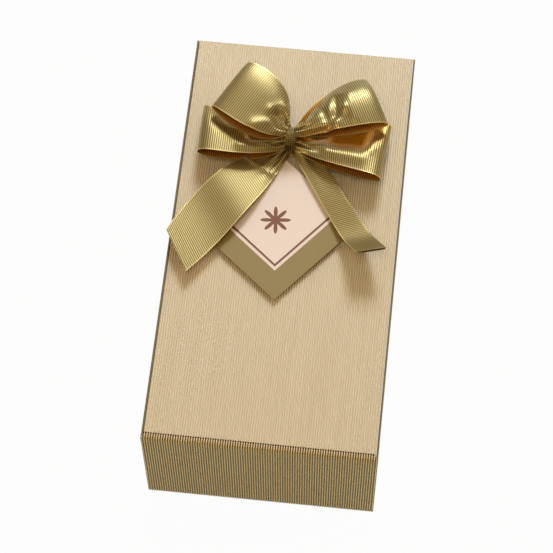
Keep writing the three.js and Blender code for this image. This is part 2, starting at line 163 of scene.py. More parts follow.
def apply_modifier(piece, kind, **settings):
    modifier = piece.modifiers.new(kind.title(), kind)
    for name, value in settings.items():
        setattr(modifier, name, value)
    bpy.context.view_layer.objects.active = piece
    bpy.ops.object.modifier_apply(modifier=modifier.name)


def close_up(piece, distance=1e-6):
    """Merges doubles and turns the faces outwards."""
    edit(piece, "SELECT")
    bpy.ops.mesh.remove_doubles(threshold=distance)
    bpy.ops.mesh.normals_make_consistent(inside=False)
    leave_edit()


def shade(piece, angle=40):
    start_piece()
    piece.select_set(True)
    bpy.context.view_layer.objects.active = piece
    bpy.ops.object.shade_smooth_by_angle(angle=math.radians(angle))


def points_of(piece):
    flat = np.empty(len(piece.data.vertices) * 3)
    piece.data.vertices.foreach_get("co", flat)
    return flat.reshape(-1, 3)


def move_points(piece, points):
    piece.data.vertices.foreach_set("co", np.asarray(points, float).ravel())
    piece.data.update()


def set_map(piece, places):
    """The piece's own map, in metres: one place for each of its points."""
    corners = np.empty(len(piece.data.loops), int)
    piece.data.loops.foreach_get("vertex_index", corners)
    layer = piece.data.uv_layers.active or piece.data.uv_layers.new(name="UVMap")
    layer.data.foreach_set("uv", np.asarray(places, float)[corners].ravel())


def finish_piece(piece, node, body, material):
    """The piece stands for its CAD node, moves with its body and takes its finish."""
    if material is not None:
        piece.data.materials.clear()
        piece.data.materials.append(material)
    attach(piece, body)
    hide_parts(node)
    return piece


# Materials

def fluted_gold_board(name, painted_valley_shade, crest_low, crest_high, crest_start, sheen, metallic):
    """Fluted board faced with gold-pigmented paper: a satin sheen, and painted shade in the valleys."""
    material, tree, shader = new_material(name)
    place = add_node(tree, "ShaderNodeUVMap")
    crest = add_node(tree, "ShaderNodeAttribute", attribute_name="crest")
    streak_size = add_node(tree, "ShaderNodeMapping", {
        "Vector": place.outputs["UV"],
        "Scale": (1 / (2.5 * MM), 1 / (80 * MM), 1),
    })
    streaks = add_node(tree, "ShaderNodeTexNoise", {
        "Vector": streak_size.outputs["Vector"], "Scale": 1, "Detail": 3,
    })
    height = add_node(tree, "ShaderNodeMapRange", {
        "Value": crest.outputs["Fac"], "From Min": crest_start, "From Max": crest_start + 0.5,
    })
    pigment = add_node(tree, "ShaderNodeMix", {
        0: streaks.outputs["Fac"], 6: linear(crest_low), 7: linear(crest_high),
    }, data_type="RGBA")
    tone = add_node(tree, "ShaderNodeMix", {
        0: height.outputs["Result"], 6: linear(painted_valley_shade), 7: pigment.outputs[2],
    }, data_type="RGBA")
    gloss = add_node(tree, "ShaderNodeMapRange", {
        "Value": streaks.outputs["Fac"], "To Min": 0.36, "To Max": 0.5,
    })
    tree.links.new(tone.outputs[2], shader.inputs["Base Color"])
    tree.links.new(gloss.outputs["Result"], shader.inputs["Roughness"])
    shader.inputs["Metallic"].default_value = metallic
    shader.inputs["Specular IOR Level"].default_value = sheen
    return material


def white_liner():
    """Uncoated white paper on the board's inner side: matt, with faint fibres."""
    material, tree, shader = new_material("white_paper_liner")
    place = add_node(tree, "ShaderNodeTexCoord")
    fibres = add_node(tree, "ShaderNodeTexNoise", {
        "Vector": place.outputs["Object"], "Scale": 1 / (1.5 * MM), "Detail": 4,
    })
    tone = add_node(tree, "ShaderNodeMix", {
        0: fibres.outputs["Fac"], 6: linear("#DDD6C8"), 7: linear("#F0ECE2"),
    }, data_type="RGBA")
    tree.links.new(tone.outputs[2], shader.inputs["Base Color"])
    shader.inputs["Roughness"].default_value = 0.85
    return material


def raw_board_edge():
    """The board's cut edge: grey pulp between the papers, rough and a little uneven."""
    material, tree, shader = new_material("cut_grey_board")
    place = add_node(tree, "ShaderNodeTexCoord")
    pulp = add_node(tree, "ShaderNodeTexNoise", {
        "Vector": place.outputs["Object"], "Scale": 1 / (0.8 * MM), "Detail": 3,
    })
    tone = add_node(tree, "ShaderNodeMix", {
        0: pulp.outputs["Fac"], 6: linear("#5F574C"), 7: linear("#887E70"),
    }, data_type="RGBA")
    tree.links.new(tone.outputs[2], shader.inputs["Base Color"])
    shader.inputs["Roughness"].default_value = 0.9
    return material


def gold_lame(name, between, rib_tone, painted_reflection_tone):
    """Woven ribbon of gold metal yarn: bright ribs across it with painted shade between them, pale
    selvedges, and a painted orange reflection of gold on gold in its hollows."""
    material, tree, shader = new_material(name)
    place = add_node(tree, "ShaderNodeUVMap")
    painted_reflection = add_node(tree, "ShaderNodeAttribute", attribute_name="painted_reflection")
    split = add_node(tree, "ShaderNodeSeparateXYZ", {"Vector": place.outputs["UV"]})
    turns = add_node(tree, "ShaderNodeMath", {
        0: split.outputs["X"], 1: 2 * math.pi / RIB_PITCH,
    }, operation="MULTIPLY")
    rib = add_node(tree, "ShaderNodeMath", {0: turns.outputs[0]}, operation="COSINE")
    height = add_node(tree, "ShaderNodeMapRange", {
        "Value": rib.outputs[0], "From Min": -0.9, "From Max": 0.4,
    })
    yarn = add_node(tree, "ShaderNodeTexNoise", {
        "Vector": place.outputs["UV"], "Scale": 1 / (0.9 * MM), "Detail": 2,
    })
    # Painted shade: darker between the ribs, in step with their valleys
    woven = add_node(tree, "ShaderNodeMix", {
        0: height.outputs["Result"], 6: linear(between), 7: linear(rib_tone),
    }, data_type="RGBA")
    # Painted orange reflection of gold on gold, laid on where the ribbon is dented in
    with_painted_reflection = add_node(tree, "ShaderNodeMix", {
        0: painted_reflection.outputs["Fac"], 6: woven.outputs[2], 7: linear(painted_reflection_tone),
    }, data_type="RGBA")
    middle = add_node(tree, "ShaderNodeMath", {
        0: split.outputs["Y"], 1: RIBBON_WIDTH / 2,
    }, operation="SUBTRACT")
    side = add_node(tree, "ShaderNodeMath", {0: middle.outputs[0]}, operation="ABSOLUTE")
    selvedge = add_node(tree, "ShaderNodeMath", {
        0: side.outputs[0], 1: RIBBON_WIDTH / 2 - SELVEDGE,
    }, operation="GREATER_THAN")
    tone = add_node(tree, "ShaderNodeMix", {
        0: selvedge.outputs[0], 6: with_painted_reflection.outputs[2], 7: linear("#CBB97E"),
    }, data_type="RGBA")
    gloss = add_node(tree, "ShaderNodeMapRange", {
        "Value": yarn.outputs["Fac"], "To Min": 0.33, "To Max": 0.46,
    })
    bump = add_node(tree, "ShaderNodeBump", {
        "Height": yarn.outputs["Fac"], "Strength": 0.2, "Distance": 0.1 * MM,
    })
    tree.links.new(tone.outputs[2], shader.inputs["Base Color"])
    tree.links.new(gloss.outputs["Result"], shader.inputs["Roughness"])
    tree.links.new(bump.outputs["Normal"], shader.inputs["Normal"])
    shader.inputs["Metallic"].default_value = 0.72
    return material


def printed_card():
    """Coated card, printed: a cream field, an olive gold chevron along two edges and a plain rosette."""
    material, tree, shader = new_material("printed_coated_card")
    place = add_node(tree, "ShaderNodeUVMap")
    split = add_node(tree, "ShaderNodeSeparateXYZ", {"Vector": place.outputs["UV"]})
    edge = add_node(tree, "ShaderNodeMath", {
        0: split.outputs["X"], 1: split.outputs["Y"],
    }, operation="MINIMUM")
    chevron = add_node(tree, "ShaderNodeMath", {0: edge.outputs[0], 1: CHEVRON_WIDTH}, operation="LESS_THAN")
    line = add_node(tree, "ShaderNodeMath", {
        0: edge.outputs[0], 1: LINE_PLACE, 2: LINE_HALF_WIDTH,
    }, operation="COMPARE")
    centre = add_node(tree, "ShaderNodeVectorMath", {
        0: place.outputs["UV"], 1: (ROSETTE_PLACE, ROSETTE_PLACE, 0),
    }, operation="SUBTRACT")
    arm = add_node(tree, "ShaderNodeSeparateXYZ", {"Vector": centre.outputs[0]})
    angle = add_node(tree, "ShaderNodeMath", {
        0: arm.outputs["Y"], 1: arm.outputs["X"],
    }, operation="ARCTAN2")
    turns = add_node(tree, "ShaderNodeMath", {0: angle.outputs[0], 1: ROSETTE_PETALS}, operation="MULTIPLY")
    petal = add_node(tree, "ShaderNodeMath", {0: turns.outputs[0]}, operation="COSINE")
    reach = add_node(tree, "ShaderNodeMapRange", {
        "Value": petal.outputs[0], "From Min": -1, "From Max": 1,
        "To Min": ROSETTE_INNER, "To Max": ROSETTE_OUTER,
    })
    radius = add_node(tree, "ShaderNodeVectorMath", {0: centre.outputs[0]}, operation="LENGTH")
    rosette = add_node(tree, "ShaderNodeMath", {
        0: radius.outputs["Value"], 1: reach.outputs["Result"],
    }, operation="LESS_THAN")
    field = add_node(tree, "ShaderNodeMix", {
        0: chevron.outputs[0], 6: linear("#E9DDD3"), 7: linear("#8F7E48"),
    }, data_type="RGBA")
    lined = add_node(tree, "ShaderNodeMix", {
        0: line.outputs[0], 6: field.outputs[2], 7: linear("#7A4E3A"),
    }, data_type="RGBA")
    drawn = add_node(tree, "ShaderNodeMix", {
        0: rosette.outputs[0], 6: lined.outputs[2], 7: linear("#7C4A33"),
    }, data_type="RGBA")
    tree.links.new(drawn.outputs[2], shader.inputs["Base Color"])
    shader.inputs["Roughness"].default_value = 0.45
    return material


def moulded(name, dark, pale, grain, roughness, metallic=0.0, coat=0.0):
    """A moulded finish with a soft change of tone of the given size."""
    material, tree, shader = new_material(name)
    place = add_node(tree, "ShaderNodeTexCoord")
    cloud = add_node(tree, "ShaderNodeTexNoise", {
        "Vector": place.outputs["Object"], "Scale": 1 / grain, "Detail": 3,
    })
    tone = add_node(tree, "ShaderNodeMix", {
        0: cloud.outputs["Fac"], 6: linear(dark), 7: linear(pale),
    }, data_type="RGBA")
    gloss = add_node(tree, "ShaderNodeMapRange", {
        "Value": cloud.outputs["Fac"], "To Min": roughness - 0.06, "To Max": roughness + 0.08,
    })
    tree.links.new(tone.outputs[2], shader.inputs["Base Color"])
    tree.links.new(gloss.outputs["Result"], shader.inputs["Roughness"])
    shader.inputs["Metallic"].default_value = metallic
    shader.inputs["Coat Weight"].default_value = coat
    return material


# The walls' copy of the board, with deep painted shade in its valleys
wall_board = fluted_gold_board("fluted_gold_board", "#857932", "#EBDEB0", "#F4E9C4", 0.48, 0.1, 0.1)
# The lid's copy of the board is painted as lit: its valleys stay pale, without the walls' painted shade
lid_board = fluted_gold_board("gold_board_painted_as_lit", "#D8CDB0", "#E0D7BE", "#E9E2CE", 0.1, 0.5, 0.45)
# Where the board is rolled over, its flutes stand apart, with painted shade darkening the valleys to brown
crease_board = fluted_gold_board("creased_gold_board", "#6E5228", "#DCCDAD", "#E5D9BD", 0.3, 0.3, 0.1)
liner_paper = white_liner()
cut_edge = raw_board_edge()
lame = gold_lame("woven_gold_lame", "#65582E", "#B2A26C", "#C8860F")
# The ribbon's inside: a brighter, more orange copy of the lamé, painted as the glow of gold reflecting gold
lame_back_painted_glow = gold_lame("woven_gold_lame_back", "#A87028", "#E0A848", "#C8861E")
card_print = printed_card()
# Formed gold-brown sheet: a smooth metallic gloss
tray_sheet = moulded("formed_gold_sheet", "#8A6630", "#A9854A", 25 * MM, 0.3, metallic=0.7)
# Glassine: a thin smooth paper with a slight gloss
glassine = moulded("glassine_paper", "#CDBB8C", "#E0D2A8", 12 * MM, 0.5)
# Closed-cell foam: gold-brown and matt
foam = moulded("closed_cell_foam", "#A8884E", "#BFA066", 0.6 * MM, 0.85)
# Tempered chocolate: smooth from its mould, with a soft gloss
milk = moulded("tempered_milk_chocolate", "#5F3018", "#7A4324", 6 * MM, 0.34, coat=0.1)
white = moulded("tempered_white_chocolate", "#E6D6A4", "#F1E6C2", 6 * MM, 0.38, coat=0.1)
dark = moulded("tempered_dark_chocolate", "#26150F", "#3A241B", 6 * MM, 0.32, coat=0.1)


# Fluted board

LID_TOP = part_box("lid_panel")[1].z


def straight(y0, z0, y1, z1, out_y, out_z, steps):
    """Rows of a flat stretch of board: the liner's place and the outward direction."""
    return [
        (y0 + (y1 - y0) * k / steps, z0 + (z1 - z0) * k / steps, out_y, out_z) for k in range(steps + 1)
    ]


def bent(centre_y, centre_z, radius, start, end, steps):
    """Rows round a bend, by the outward direction in degrees from +Y."""
    rows = []
    for k in range(steps + 1):
        angle = math.radians(start + (end - start) * k / steps)
        out_y, out_z = math.cos(angle), math.sin(angle)
        rows.append((centre_y + radius * out_y, centre_z + radius * out_z, out_y, out_z))
    return rows


def fluted_strip(name, width, rows, face, creased, inner):
    """One flute is modelled, repeated across the board, backed by its liner and carried along the rows."""
    steps = len(rows) - 1
    count = 2 * round((width / FLUTE_PITCH - 1) / 2) + 1
    pitch = width / count
    start_piece()
    bpy.ops.mesh.primitive_grid_add(x_subdivisions=FLUTE_SIDES, y_subdivisions=steps, size=1)
    strip = bpy.context.object
    strip.name = name
    flat = points_of(strip) + [0.5, 0.5, 0]
    wave = 0.5 - 0.5 * np.cos(2 * np.pi * flat[:, 0])
    move_points(strip, np.column_stack([
        flat[:, 0] * pitch - width / 2, flat[:, 1] * steps, LINER + FLUTE_DEPTH * wave,
    ]))
    apply_modifier(
        strip, "ARRAY", count=count, use_relative_offset=False, use_constant_offset=True,
        constant_offset_displace=(pitch, 0, 0), use_merge_vertices=True, merge_threshold=pitch / 50,
    )
    edit(strip, "SELECT")
    bpy.ops.mesh.extrude_region_move()
    bpy.ops.transform.resize(value=(1, 1, 0), center_override=(0, 0, 0))
    leave_edit()
    for material in (face, liner_paper, cut_edge, crease_board):
        strip.data.materials.append(material)
    points = points_of(strip)
    row = np.rint(points[:, 1]).astype(int)
    crest = strip.data.attributes.new("crest", "FLOAT", "POINT")
    crest.data.foreach_set("value", np.clip((points[:, 2] - LINER) / FLUTE_DEPTH, 0, 1))
    for polygon in strip.data.polygons:
        corners = list(polygon.vertices)
        on_liner = points[corners, 2] < LINER / 2
        if on_liner.all():
            polygon.material_index = LINER_SLOT
        elif on_liner.any():
            polygon.material_index = EDGE_SLOT
        else:
            polygon.material_index = CREASE_SLOT if min(row[corners]) in creased else FACE_SLOT
    line = np.array(rows)
    lengths = np.hypot(*np.diff(line[:, :2] + line[:, 2:] * BOARD, axis=0).T)
    run = np.concatenate([[0], np.cumsum(lengths)])
    set_map(strip, np.column_stack([points[:, 0], run[row]]))
    y, z, out_y, out_z = line[row].T
    first_row, inner_width = inner
    between = np.clip(points[:, 0], -inner_width / 2, inner_width / 2)
    x = np.where(row < first_row, points[:, 0], between + (points[:, 0] - between) * END_SQUEEZE)
    move_points(strip, np.column_stack([x, y + out_y * points[:, 2], z + out_z * points[:, 2]]))
    return strip


def board_piece(node, body, width, rows, turn=None, face=None, creased=(), inner=None):
    """A panel of board along its rows. Creased rows have their own finish, and inner gives the row from
    which the board is cut in, and its width there."""
    strip = fluted_strip(f"{node}_board", width, rows, face or wall_board, creased, inner or (0, width))
    if turn is not None:
        strip.data.transform(turn)
    close_up(strip)
    shade(strip, 60)
    return finish_piece(strip, node, body, None)


def cut_off(piece, place, normal):
    """Cuts the piece with a plane and closes the cut with raw board."""
    normal = Vector(normal).normalized()
    edit(piece, "SELECT")
    bpy.ops.mesh.bisect(plane_co=place, plane_no=normal, use_fill=True, clear_outer=True, threshold=1e-6)
    leave_edit()
    for polygon in piece.data.polygons:
        if abs(polygon.normal.dot(normal)) > 0.999:
            polygon.material_index = EDGE_SLOT


def build_carton():
    low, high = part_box("lid_panel")
    width = high.x - low.x
    under = high.z - BOARD
    fold = low.y + BOARD - LID_REACH
    bend = ((-0.5, 1), (-0.88, 0.88), (-1, 0.5), (-1, 0))
    crease = [(fold, under, out_y, out_z) for out_y, out_z in bend]
    lid = straight(high.y, under, fold, under, 0, 1, 30) + crease
    board_piece("lid_panel", "lid", width, lid, face=lid_board)

    outer_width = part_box("right_wall")[1].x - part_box("left_wall")[0].x
    low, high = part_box("front_wall")
    middle_y = low.y + BOARD + ROLL_RADIUS
    middle_z = LID_TOP - ROLL_DROP - BOARD - ROLL_RADIUS
    roll = []
    for y, z, out_y, out_z in bent(middle_y, middle_z, ROLL_RADIUS, 180, 0, 16):
        square = 1 + ROLL_SQUARENESS * (2 * out_y * out_z) ** 2 if out_y > 0 else 1
        liner_y = middle_y + (y - middle_y) * square
        liner_z = middle_z + (z - middle_z) * square
        roll.append((liner_y, liner_z, out_y * square, out_z * square))
    outside = straight(middle_y - ROLL_RADIUS, low.z, middle_y - ROLL_RADIUS, middle_z, -1, 0, 10)
    inner_y = high.y - BOARD
    taper = straight(middle_y + ROLL_RADIUS, middle_z, inner_y, middle_z - ROLL_TAPER, 1, 0, 6)
    inside = straight(inner_y, middle_z - ROLL_TAPER, inner_y, BOARD + BOARD_GAP, 1, 0, 8)
    # Past the top of the roll the board lies between the side walls
    rows = outside[:-1] + roll + taper[1:-1] + inside
    past_top = next(k for k, row in enumerate(rows) if row[2] > 0.01)
    creased = range(past_top - 4, past_top + 8)
    board_piece("front_wall", "carton", outer_width, rows, creased=creased, inner=(past_top, width))
    wall_start = middle_y + BOARD_GAP

    low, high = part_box("rear_wall")
    board_piece("rear_wall", "carton", width, straight(low.y, low.z, low.y, high.z, 1, 0, 10))

    low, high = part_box("base_floor")
    board_piece("base_floor", "carton", width, straight(low.y, BOARD, high.y, BOARD, 0, -1, 10))

    for node, side in (("left_wall", -1), ("right_wall", 1)):
        low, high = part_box(node)
        height = high.z - low.z
        turn = Matrix.Translation((0, 0, height / 2)) @ Matrix.Rotation(side * math.pi / 2, 4, "Y")
        liner = max(abs(low.x), abs(high.x)) - BOARD
        board_piece(node, "carton", height, straight(wall_start, liner, high.y, liner, 0, 1, 30), turn)

    low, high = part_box("tuck_flap")
    flap = board_piece(
        "tuck_flap", "tuck", high.x - low.x, straight(high.y, low.z, high.y, high.z, -1, 0, 6))
    cut_off(flap, (0, high.y, high.z), (0, -FLAP_MITRE, BOARD))

    for node, body, side in (("left_ear", "ear_left", -1), ("right_ear", "ear_right", 1)):
        low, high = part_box(node)
        height = high.z - low.z
        turn = Matrix.Translation((0, 0, low.z + height / 2)) @ Matrix.Rotation(side * math.pi / 2, 4, "Y")
        liner = min(abs(low.x), abs(high.x))
        ear = board_piece(node, body, height, straight(low.y, liner, high.y, liner, 0, 1, 20), turn)
        cut_off(ear, (0, low.y, high.z), (0, -height, -EAR_CORNER))
        cut_off(ear, (0, high.y, high.z), (0, height, -EAR_CORNER))


# Trays, sheet and pads

def softened(node, radius):
    """A copy of the solid with its doubles merged and its edges rounded."""
    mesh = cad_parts[node].data.copy()
    piece = bpy.data.objects.new(f"{node}_formed", mesh)
    bpy.context.scene.collection.objects.link(piece)
    start_piece()
    edit(piece, "SELECT")
    bpy.ops.mesh.remove_doubles(threshold=1e-5)
    bpy.ops.mesh.dissolve_limited(angle_limit=math.radians(1))
    leave_edit()
    apply_modifier(
        piece, "BEVEL", width=radius, segments=2, limit_method="ANGLE", angle_limit=math.radians(30))
    shade(piece, 35)
    return piece


def build_trays():
    for node in ("lower_tray", "upper_tray"):
        finish_piece(softened(node, 0.25 * MM), node, "carton", tray_sheet)
    sheet = finish_piece(softened("layer_sheet", 0.2 * MM), "layer_sheet", "carton", glassine)
    for node in ("bow_pad", "tag_pad"):
        pad = finish_piece(softened(node, 0.2 * MM), node, "lid", foam)


# Pralines

def turned_body(name, profile, sides=40):
    """A round drawn up ring by ring from its foot."""
    start_piece()
    foot, *rings = profile
    bpy.ops.mesh.primitive_circle_add(vertices=sides, radius=foot[0], fill_type="NGON", location=(0, 0, 0))
    body = bpy.context.object
    body.name = name
    edit(body, "SELECT")
    before = foot
    for ring in rings:
        bpy.ops.mesh.extrude_region_move(TRANSFORM_OT_translate={"value": (0, 0, ring[1] - before[1])})
        scale = ring[0] / before[0]
        bpy.ops.transform.resize(value=(scale, scale, 1), center_override=(0, 0, ring[1]))
        before = ring
    leave_edit()
    close_up(body)
    return body


def build_praline_forms():
    """One of each kind, standing on the origin."""
    low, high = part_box("upper_dark_dome_13")
    radius, height = (high.y - low.y) / 2, high.z - low.z
    dome = turned_body("dark_dome", [
        (radius * r, height * z) for r, z in (
            (0.9, 0), (0.97, 0.04), (1, 0.12), (0.97, 0.45), (0.87, 0.75), (0.7, 0.93), (0.52, 0.985),
            (0.44, 0.96), (0.38, 0.9), (0.1, 0.89))
    ])
    points = points_of(dome)
    turn = np.arctan2(points[:, 1], points[:, 0])
    rise = np.clip(points[:, 2] / height, 0, 1)
    flute = 1 + 0.02 * np.cos(10 * turn + 3 * rise) * np.sin(np.pi * rise)
    move_points(dome, points * np.column_stack([flute, flute, np.ones_like(flute)]))

    low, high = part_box("upper_milk_shell_11")
    width, length, height = high.x - low.x, high.y - low.y, high.z - low.z
    shell = turned_body("milk_shell", [
        (width / 2 * r, height * z) for r, z in (
            (0.86, 0), (0.95, 0.04), (1, 0.14), (0.97, 0.45), (0.85, 0.7), (0.6, 0.9), (0.3, 0.98), (0.08, 1))
    ])
    points = points_of(shell)
    rise = np.clip(points[:, 2] / height, 0, 1)
    groove = 1 - 0.05 * (0.5 + 0.5 * np.cos(points[:, 0] / width * 2 * np.pi * 4)) * rise
    move_points(shell, np.column_stack([
        points[:, 0], points[:, 1] * length / width, points[:, 2] * groove,
    ]))

    low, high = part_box("upper_white_cushion_12")
    width, height = high.x - low.x, high.z - low.z
    cushion = turned_body("white_cushion", [
        (width / 2 * r, height * z) for r, z in (
            (0.88, 0), (0.96, 0.04), (1, 0.12), (0.98, 0.5), (0.88, 0.78), (0.7, 0.9), (0.5, 0.93),
            (0.42, 0.9), (0.3, 0.94), (0.18, 1), (0.06, 1))
    ])
    points = points_of(cushion)
    turn = np.arctan2(points[:, 1], points[:, 0])
    square = (1 - CUSHION_CORNER * np.cos(4 * turn)) / (1 - CUSHION_CORNER)
    move_points(cushion, points * np.column_stack([square, square, np.ones_like(square)]))
    forms = {"dark_dome": (dome, dark), "milk_shell": (shell, milk), "white_cushion": (cushion, white)}
    for form, material in forms.values():
        apply_modifier(form, "SUBSURF", levels=1, render_levels=1)
        form.data.materials.append(material)
        shade(form, 50)
    return forms


def build_pralines():
    forms = build_praline_forms()
    for node in sorted(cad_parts):
        kind = next((k for k in forms if k in node), None)
        if kind is None:
            continue
        form, material = forms[kind]
        low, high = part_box(node)
        piece = form.copy()
        piece.data = form.data.copy()
        piece.name = f"{node}_moulded"
        bpy.context.scene.collection.objects.link(piece)
        middle = (low + high) / 2
        piece.data.transform(Matrix.Translation((middle.x, middle.y, low.z)))
        finish_piece(piece, node, "carton", material)
    for form, _ in forms.values():
        bpy.data.objects.remove(form)


# Bow

KNOT_LOW, KNOT_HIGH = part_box("bow_knot")
BOW = Vector(((KNOT_LOW.x + KNOT_HIGH.x) / 2, (KNOT_LOW.y + KNOT_HIGH.y) / 2, LID_TOP))
ROOT = 0.1
UPPER = dict(knot_z=0.5, end_z=0.66, opening=0.2, throat=0.064, flatness=6)
LOWER = dict(knot_z=0.24, end_z=0.34, opening=0.17, throat=0.064, flatness=12)
BELLY = 0.6
# Depth in millimetres of a dent whose painted orange reflection is full
PAINTED_REFLECTION_FULL_DEPTH = 5
TURN_DEPTH = 0.06


def curve(points, t):
    """Points along a quadratic curve of three control points."""
    a, b, c = (np.array(p, float) for p in points)
    t = np.asarray(t)[:, None]
    return (1 - t) ** 2 * a + 2 * t * (1 - t) * b + t ** 2 * c


def loop_surface(rear, front, knot_z, end_z, opening, throat, lean, flatness):
    """A loop goes out from the knot on top, turns at its fold and comes back below."""
    def surface(u, v):
        turn = np.pi * u
        reach = np.sin(turn)
        plan = (1 - v)[:, None] * curve(front, reach) + v[:, None] * curve(rear, reach)
        middle = knot_z + (end_z - knot_z + lean * (1 - 2 * v)) * reach
        layer = np.where(u < 0.5, 1, -BELLY)
        half = (throat + opening * np.sin(np.pi / 2 * reach)) * np.sqrt(np.maximum(1 - reach ** flatness, 0))
        return np.column_stack([plan, middle + layer * half])
    return surface


def tail_surface(outer, inner, shown=1.0):
    """A tail; past the shown share of its width it is turned under along its outer edge."""
    def surface(u, v):
        side = (np.minimum(v, 2 * shown - v) / shown)[:, None]
        place = (1 - side) * curve(inner, u) + side * curve(outer, u)
        place[:, 2] -= TURN_DEPTH * (v > shown)
        return place
    return surface


def evened(surface, steps=600):
    """The same surface with even steps along the ribbon's middle, and the length of that line."""
    u = np.linspace(0, 1, steps + 1)
    middle = surface(u, np.full_like(u, 0.5)) * RIBBON_WIDTH
    run = np.concatenate([[0], np.cumsum(np.linalg.norm(np.diff(middle, axis=0), axis=1))])
    return lambda share, v: surface(np.interp(share * run[-1], run, u), v) * RIBBON_WIDTH, run[-1]


def ridge(run, across, start, end, breadth, height):
    """A crease between two places on the ribbon, in millimetres along and across it."""
    start, end = np.array(start, float), np.array(end, float)
    along = end - start
    place = np.stack([run, across], -1) - start
    share = np.clip(place @ along / (along @ along), 0, 1)
    distance = np.linalg.norm(place - share[..., None] * along, axis=-1)
    return height * np.exp(-(distance / breadth) ** 2)


def ribbon(name, node, surface, creases=(), hollows=(), ends=2, up=1):
    """A flat strip with its own map is carried to the surface, gathered, creased, ribbed and given thickness."""
    even_surface, length = evened(surface)
    steps = RIB_SIDES * round(length / RIB_PITCH)
    start_piece()
    bpy.ops.mesh.primitive_grid_add(x_subdivisions=steps, y_subdivisions=RIBBON_ACROSS, size=1)
    strip = bpy.context.object
    strip.name = name
    flat = points_of(strip)[:, :2] + 0.5
    shape = (RIBBON_ACROSS + 1, steps + 1)
    share, v = flat.T
    place = even_surface(share, v).reshape(*shape, 3)
    normal = np.cross(np.gradient(place, axis=1), np.gradient(place, axis=0))
    normal *= up / np.maximum(np.linalg.norm(normal, axis=-1, keepdims=True), 1e-12)
    run = (share * length).reshape(shape)
    across = (v * RIBBON_WIDTH).reshape(shape)
    root = np.minimum(run, length - run) if ends == 2 else run
    lift = RIB_HEIGHT * np.cos(2 * np.pi * run / RIB_PITCH)
    lift = lift + gathers(place, root, v.reshape(shape))
    place = place + lift[..., None] * normal
    for start, end, breadth, height in creases:
        place[..., 2] += ridge(run / MM, across / MM, start, end, breadth, height) * MM
    depth = np.zeros(shape)
    for start, end, breadth, height in hollows:
        depth += ridge(run / MM, across / MM, start, end, breadth, height)
    place[..., 2] -= depth * MM
    move_points(strip, place.reshape(-1, 3) + BOW)
    set_map(strip, np.column_stack([run.ravel(), across.ravel()]))
    # The deeper a dent, the more painted orange reflection it takes
    painted_reflection = strip.data.attributes.new("painted_reflection", "FLOAT", "POINT")
    painted_reflection.data.foreach_set("value", np.clip(depth / PAINTED_REFLECTION_FULL_DEPTH, 0, 1).ravel())
    if up < 0:
        edit(strip, "SELECT")
        bpy.ops.mesh.flip_normals()
        leave_edit()
    strip.data.materials.append(lame)
    strip.data.materials.append(lame_back_painted_glow)
    apply_modifier(strip, "SOLIDIFY", thickness=RIBBON_THICKNESS, offset=0, material_offset=1)
    close_up(strip)
    shade(strip, 75)
    finish_piece(strip, node, "lid", None)
    return strip


def gathers(place, root, v):
    """Folds beside the knot, which take up the ribbon's width where it is drawn in."""
    width = np.linalg.norm(place[-1] - place[0], axis=-1)
    spare = np.sqrt(np.maximum(RIBBON_WIDTH ** 2 - width ** 2, 0))
    near = np.exp(-root / GATHER_REACH)
    return near * spare / (4 * GATHER_FOLDS) * np.cos(2 * np.pi * GATHER_FOLDS * (v - 0.5))


